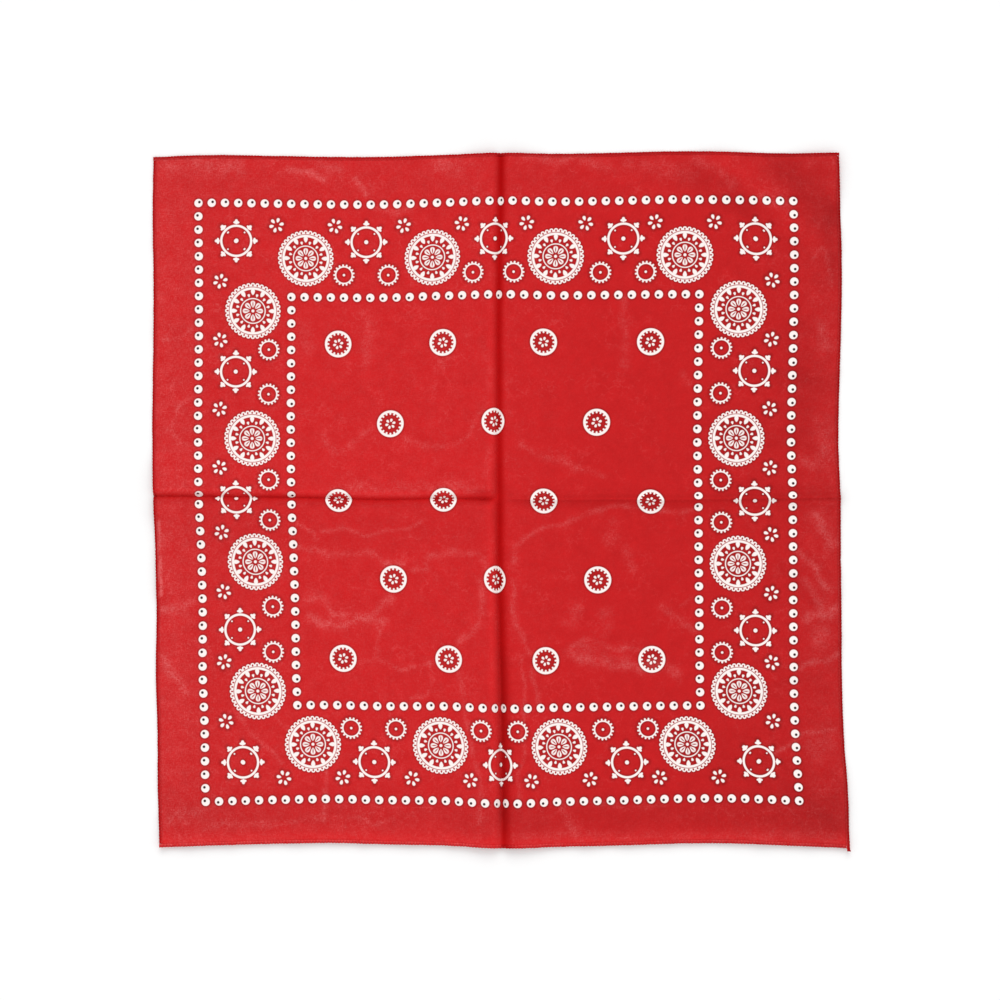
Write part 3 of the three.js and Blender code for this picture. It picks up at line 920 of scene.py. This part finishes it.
def makeSquare(front, back):
    lines = gridLines(cloth["tuckedEdge"])
    u, v = np.meshgrid(lines, lines)
    x, y = place(u, v)
    under = clothHeight(u, v)
    across, up = printCoordinates(u, v, x, y)

    def bothLayers(grid, lowerGrid=None):  # the underside has every second line of the grid
        lower = grid if lowerGrid is None else lowerGrid
        return np.concatenate([grid.ravel(), lower[::2, ::2].ravel()])

    heights = bothLayers(under + cloth["thickness"], under)
    points = np.column_stack([bothLayers(x), bothLayers(y), heights]) * mm
    n = len(lines)
    m = (n + 1) // 2
    topIndex = np.arange(n * n).reshape(n, n)
    lowIndex = np.arange(m * m).reshape(m, m) + n * n
    upper = quads(topIndex)
    lower = quads(lowIndex)[:, [0, 3, 2, 1]]  # faces down
    topEdge = outline(topIndex)
    lowEdge = outline(lowIndex)
    nextTop = np.roll(topEdge[::2], -1)
    rim = np.stack([topEdge[::2], lowEdge, np.roll(lowEdge, -1), nextTop, topEdge[1::2]], axis=-1)
    square = newPiece("square", points, [*upper.tolist(), *lower.tolist(), *rim.tolist()], front, back)
    materialIndex = np.ones(len(upper) + len(lower) + len(rim), np.int32)
    materialIndex[:len(upper)] = 0
    square.data.polygons.foreach_set("material_index", materialIndex)
    # deep and shade hold painted shade and painted light; pale is the cloth's tone and where it touches the
    # surface.
    addLevels(square, pale=bothLayers(paleness(x, y)), deep=bothLayers(paintedCreaseShade(u, v)),
              shade=bothLayers(paintedShadeLevel(u, v)))

    corners = np.concatenate([upper.ravel(), lower.ravel(), rim.ravel()])
    clothUv = np.column_stack([bothLayers(across)[corners], bothLayers(up)[corners]]) / mapSize + 0.5
    addUvMap(square, "clothPlace", clothUv)
    bakeUv = np.column_stack([bothLayers(u)[corners], bothLayers(v)[corners]])
    bakeUv = bakeUv / (2 * cloth["tuckedEdge"]) + 0.5
    low, span, inner, outer = [bakeMap[name] for name in ("low", "span", "rimStart", "rimEnd")]
    backFrom = upper.size
    rimFrom = upper.size + lower.size
    bakeUv[:backFrom] = bakeUv[:backFrom] * [bakeMap["frontWidth"], span] + [low, low]
    bakeUv[backFrom:rimFrom] = (bakeUv[backFrom:rimFrom] * [bakeMap["backWidth"], span]
                                + [bakeMap["backStart"], low])
    rimUv = np.tile([[inner, 0], [outer, 0], [outer, 1], [inner, 1], [inner, 0.5]], (len(rim), 1))
    rimUv[:, 1] = low + span * (np.repeat(np.arange(len(rim)), 5) + rimUv[:, 1]) / len(rim)
    bakeUv[rimFrom:] = rimUv
    addUvMap(square, "OFBake", bakeUv)
    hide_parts("panel")
    return square


# The rolled hems. Each runs from and to a distance along its edge, counted the way round with the
# cloth on the left.
hem = {
    "width": 2.7,
    "height": 0.95,
    "around": 14,  # points round the roll
    "perStitch": 6,  # sections for each stitch
    "stitchPitch": 2.4,
    "boxiness": 0.7,  # 1 is an ellipse, less is squarer, and its lower half is squarer still
    "lowerBoxiness": 0.4,
    "slope": 0.35,  # how far the roll's inner side leans over onto the cloth
    "pinch": 0.2,  # how far a stitch draws the roll in
    "wander": 0.12,  # unevenness of the roll's width
    "tipLength": 2.6,  # of the end that sticks out at the near right corner, and how far it leans out
    "tipLean": 0.6,
    "tipGrowth": 0.1,
    # rim and rimFade: painted shade on the roll's outer side, where it curves down to the surface, with the
    # deeper red of its doubled cloth
    "rim": 2.2,  # breadth of the deeper red on the outside
    "rimFade": 0.7,
    # painted shade in the dents where a stitch draws the roll in
    "pinchShade": 0.35,
    "pinchSharpness": 5,
    "uvPitch": 0.55,
    "roughness": 0.92,
    "thinSmoothing": 0.06,
}
# pale and deep are each side's painted light and painted shade on its roll, which differ by how the light
# falls on that edge.
hemSides = {
    "hemTop": {
        "node": "hem_top", "side": (0, 1), "from": -270, "to": 270, "pale": 0.05, "deep": 0.95,
    },
    "hemBottom": {
        "node": "hem_bottom", "side": (0, -1), "from": -270, "to": 267.2, "pale": 0.25, "deep": 0.45,
    },
    "hemLeft": {
        "node": "hem_left", "side": (-1, 0), "from": -267.2, "to": 267.2, "pale": 0.0, "deep": 1.0,
    },
    "hemRight": {
        "node": "hem_right", "side": (1, 0), "from": -272.2, "to": 267.2, "pale": 0.2, "deep": 1.1,
    },
}


def hemGrid(side, out, s):  # u and v at a distance out from the middle and s along that edge
    return side[0] * out - side[1] * s, side[1] * out + side[0] * s


def hemPoint(side, out, s, height):
    u, v = hemGrid(side, out, s)
    x, y = place(u, v)
    return np.stack([x, y, clothHeight(u, v) + height], axis=-1)


def makeHem(name, run, material):
    side = run["side"]
    sections = int(round((run["to"] - run["from"]) / hem["stitchPitch"])) * hem["perStitch"] + 1
    s = np.linspace(run["from"], run["to"], sections)
    k = hem["around"]
    sGrid, angle = np.meshgrid(s, np.linspace(0, math.tau, k, endpoint=False), indexing="ij")
    pinching = np.abs(np.sin(math.pi * (sGrid - run["from"]) / hem["stitchPitch"]))
    drawnIn = pinching ** hem["pinchSharpness"]
    uneven = 1 + hem["wander"] * unevenness(s, 0 * s, 6.0, 1.5 + side[0] + 3 * side[1])[:, None]
    scale = (1 - hem["pinch"] * drawnIn) * uneven
    tip = smooth((run["from"] + hem["tipLength"] - sGrid) / hem["tipLength"])
    tip = tip * (run["from"] < -cloth["half"])
    scale = scale * (1 + hem["tipGrowth"] * tip)
    across = np.sign(np.cos(angle)) * np.abs(np.cos(angle)) ** hem["boxiness"]
    flatBelow = np.sign(across) * abs(across) ** hem["lowerBoxiness"]
    across = np.where(np.sin(angle) < 0, flatBelow, across)
    rise = np.sign(np.sin(angle)) * np.abs(np.sin(angle)) ** hem["boxiness"]
    rise = np.where(rise > 0, rise * scale * (1 - hem["slope"] * np.maximum(-across, 0)), rise)
    out = cloth["half"] - hem["width"] / 2 * (1 - across * scale) + hem["tipLean"] * tip
    points = hemPoint(side, out, sGrid, hem["height"] / 2 * (1 + rise))
    index = np.arange(sections * k).reshape(sections, k)
    nextOne = np.roll(index, -1, axis=1)
    around = np.stack([index[:-1], index[1:], nextOne[1:], nextOne[:-1]], axis=-1).reshape(-1, 4).tolist()
    faces = [*around, index[0].tolist(), index[-1, ::-1].tolist()]
    piece = newPiece(name, points.reshape(-1, 3) * mm, faces, material)
    x = points[..., 0]
    y = points[..., 1]
    # Painted shade: on the roll's outer side, in the stitch dents and in the creases.
    rim = run["deep"] * smooth((out - cloth["half"] + hem["rim"]) / hem["rimFade"])
    u, v = hemGrid(side, out, sGrid)
    deep = paintedCreaseShade(u, v) + rim + hem["pinchShade"] * drawnIn
    addLevels(piece, pale=paleness(x, y) + run["pale"], deep=deep, shade=paintedShadeLevel(u, v))
    uv = []
    for face in faces:
        wraps = len(face) == 4 and max(i % k for i in face) - min(i % k for i in face) > 1
        for i in face:
            turn = i % k + (k if wraps and i % k == 0 else 0)
            uv.append((s[i // k] / mapSize + 0.5, 0.5 + turn * hem["uvPitch"] / mapSize))
    addUvMap(piece, "clothPlace", uv)
    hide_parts(run["node"])
    return piece


def makeHemMaterial(weaveGroup, washAndShadeGroup):
    material, tree, shader = newCotton("rolledCotton")
    x, y = readPlace(tree, "clothPlace", mapSize)
    height, thin = useGroup(tree, weaveGroup, x, y, weave["pitch"], weave["slub"])
    colour, speckle = washedAndShadedRed(tree, washAndShadeGroup, x, y, cotton["rolledShadeRed"])
    feed(tree, colour, shader.inputs["Base Color"])
    feed(tree, hem["roughness"] - thin * hem["thinSmoothing"], shader.inputs["Roughness"])
    bumpFrom(tree, shader, height, weave["bump"])
    return material


# The stitches that hold the hems: one short slanting thread a pitch
stitch = {
    "length": 1.4,
    "radius": 0.2,
    "endRadius": 0.35,  # share of the radius that is left at the ends
    "slant": 0.55,
    "slantWander": 0.25,
    "across": 1.45,
    "low": 0.55,  # shares of the hem's height at the ends, and from there to the middle
    "bow": 0.42,
    "sunk": 0.1,
    "firstGap": 2.4,
    "lastGap": 1,
    "sides": 6,
    "rings": 5,
}


def makeStitches(material):
    points = []
    faces = []
    k = stitch["sides"]
    for run in hemSides.values():
        side = run["side"]
        start = run["from"] + hem["stitchPitch"] / 2 + stitch["firstGap"]
        centres = np.arange(start, run["to"] - stitch["lastGap"], hem["stitchPitch"])
        for number, s in enumerate(centres):
            lean = stitch["slant"] * (1 + stitch["slantWander"] * math.sin(number * 2.3))
            t = np.linspace(-1, 1, stitch["rings"])
            along = s + t * stitch["length"] / 2
            inward = stitch["across"] + t * lean * stitch["length"] / 2
            bulge = np.sqrt(np.maximum(1 - (t * 0.96) ** 2, 0))
            height = hem["height"] * (stitch["low"] + stitch["bow"] * bulge) - stitch["sunk"]
            line = hemPoint(side, cloth["half"] - inward, along, height)
            thickness = stitch["endRadius"] + (1 - stitch["endRadius"]) * bulge
            first = len(points)
            for centre, radius in zip(line, stitch["radius"] * thickness):
                for i in range(k):
                    turn = math.tau * i / k
                    offset = (side[0] * math.cos(turn), side[1] * math.cos(turn), math.sin(turn))
                    points.append([(c + radius * o) * mm for c, o in zip(centre, offset)])
            for j in range(stitch["rings"] - 1):
                for i in range(k):
                    a, b = first + j * k + i, first + j * k + (i + 1) % k
                    faces.append((a, a + k, b + k, b))
            last = first + (stitch["rings"] - 1) * k
            faces.append(tuple(range(first, first + k)))
            faces.append(tuple(range(last + k - 1, last - 1, -1)))
    piece = newPiece("hemStitches", points, faces, material)
    return piece


# The thread's dark and light are painted shade and painted light of its twist, laid along it in bands.
thread = {
    "dark": (0.30, 0.005, 0.008, 1),
    "light": (0.48, 0.013, 0.017, 1),
    "twists": 1400,  # a metre
    "roughness": 0.62,
    "roughnessChange": 0.12,
    "bump": 0.05,
}


def makeThreadMaterial():
    material, tree, shader = newMaterial("redThread", **{"Sheen Weight": 0.1})
    ownPlace = tree.nodes.new("ShaderNodeTexCoord")
    wave = tree.nodes.new("ShaderNodeTexWave")
    wave.inputs["Scale"].default_value = thread["twists"]
    wave.bands_direction = "DIAGONAL"
    tree.links.new(ownPlace.outputs["Object"], wave.inputs["Vector"])
    twist = Field(tree, wave.outputs["Fac"])
    feed(tree, mixColour(tree, twist, thread["dark"], thread["light"]), shader.inputs["Base Color"])
    feed(tree, thread["roughness"] + twist * thread["roughnessChange"], shader.inputs["Roughness"])
    bumpFrom(tree, shader, twist, thread["bump"])
    return material


printGroup = makePrint()
weaveGroup = makeWeave()
washAndShadeGroup = makeWashAndShade()
frontCotton = makeClothMaterial("printedCotton", printGroup, weaveGroup, washAndShadeGroup, cotton["inkCover"])
backCotton = makeClothMaterial("cottonReverse", printGroup, weaveGroup, washAndShadeGroup, cotton["reverseCover"])
hemCotton = makeHemMaterial(weaveGroup, washAndShadeGroup)
redThread = makeThreadMaterial()
print("bandana: materials made")

square = makeSquare(frontCotton, backCotton)
print("bandana: square made,", len(square.data.polygons), "faces")
hems = [makeHem(name, run, hemCotton) for name, run in hemSides.items()]
stitches = makeStitches(redThread)
print("bandana: hems and stitches made")


# The surface that it lies on, the light and the camera
studio = {
    "floorSize": 30.0,
    "cameraHeight": 2.2,
    "frameWidth": 0.780,  # of the floor that the picture shows
    "frameCentre": (-0.0006, 0.0002),
    "world": 0.88,
    "key": 0.95,  # watts a square metre, from the far side
    "keyElevation": 35,  # degrees
    "keySoftness": 35,
    "floor": 0.97,
}


def makeFloor():
    half = studio["floorSize"] / 2
    mesh = bpy.data.meshes.new("floor")
    corners = [(-half, -half, 0), (half, -half, 0), (half, half, 0), (-half, half, 0)]
    mesh.from_pydata(corners, [], [(0, 1, 2, 3)])
    floor = bpy.data.objects.new("floor", mesh)
    floor.location.z = -0.0002
    bpy.context.collection.objects.link(floor)
    material, tree, shader = newMaterial("paleFloor", **{"Roughness": 0.9, "Specular IOR Level": 0.2})
    shader.inputs["Base Color"].default_value = (studio["floor"], studio["floor"], studio["floor"], 1)
    mesh.materials.append(material)


def makeLight():
    world = bpy.data.worlds.new("softRoom")
    bpy.context.scene.world = world
    world.use_nodes = True
    world.node_tree.nodes["Background"].inputs[0].default_value = (1, 1, 1, 1)
    world.node_tree.nodes["Background"].inputs[1].default_value = studio["world"]
    light = bpy.data.lights.new("key", "SUN")
    light.energy = studio["key"]
    light.angle = math.radians(studio["keySoftness"])
    key = bpy.data.objects.new("key", light)
    key.location = (0, 1, 1)
    key.rotation_euler = (math.radians(studio["keyElevation"] - 90), 0, 0)
    bpy.context.collection.objects.link(key)


def makeCamera():
    data = bpy.data.cameras.new("camera")
    data.sensor_width = 36
    data.lens = data.sensor_width * studio["cameraHeight"] / studio["frameWidth"]
    camera = bpy.data.objects.new("camera", data)
    camera.location = (*studio["frameCentre"], studio["cameraHeight"])
    bpy.context.collection.objects.link(camera)
    bpy.context.scene.camera = camera


makeFloor()
makeLight()
makeCamera()
bpy.context.scene.view_settings.view_transform = "Standard"
print("bandana: floor, light and camera made")
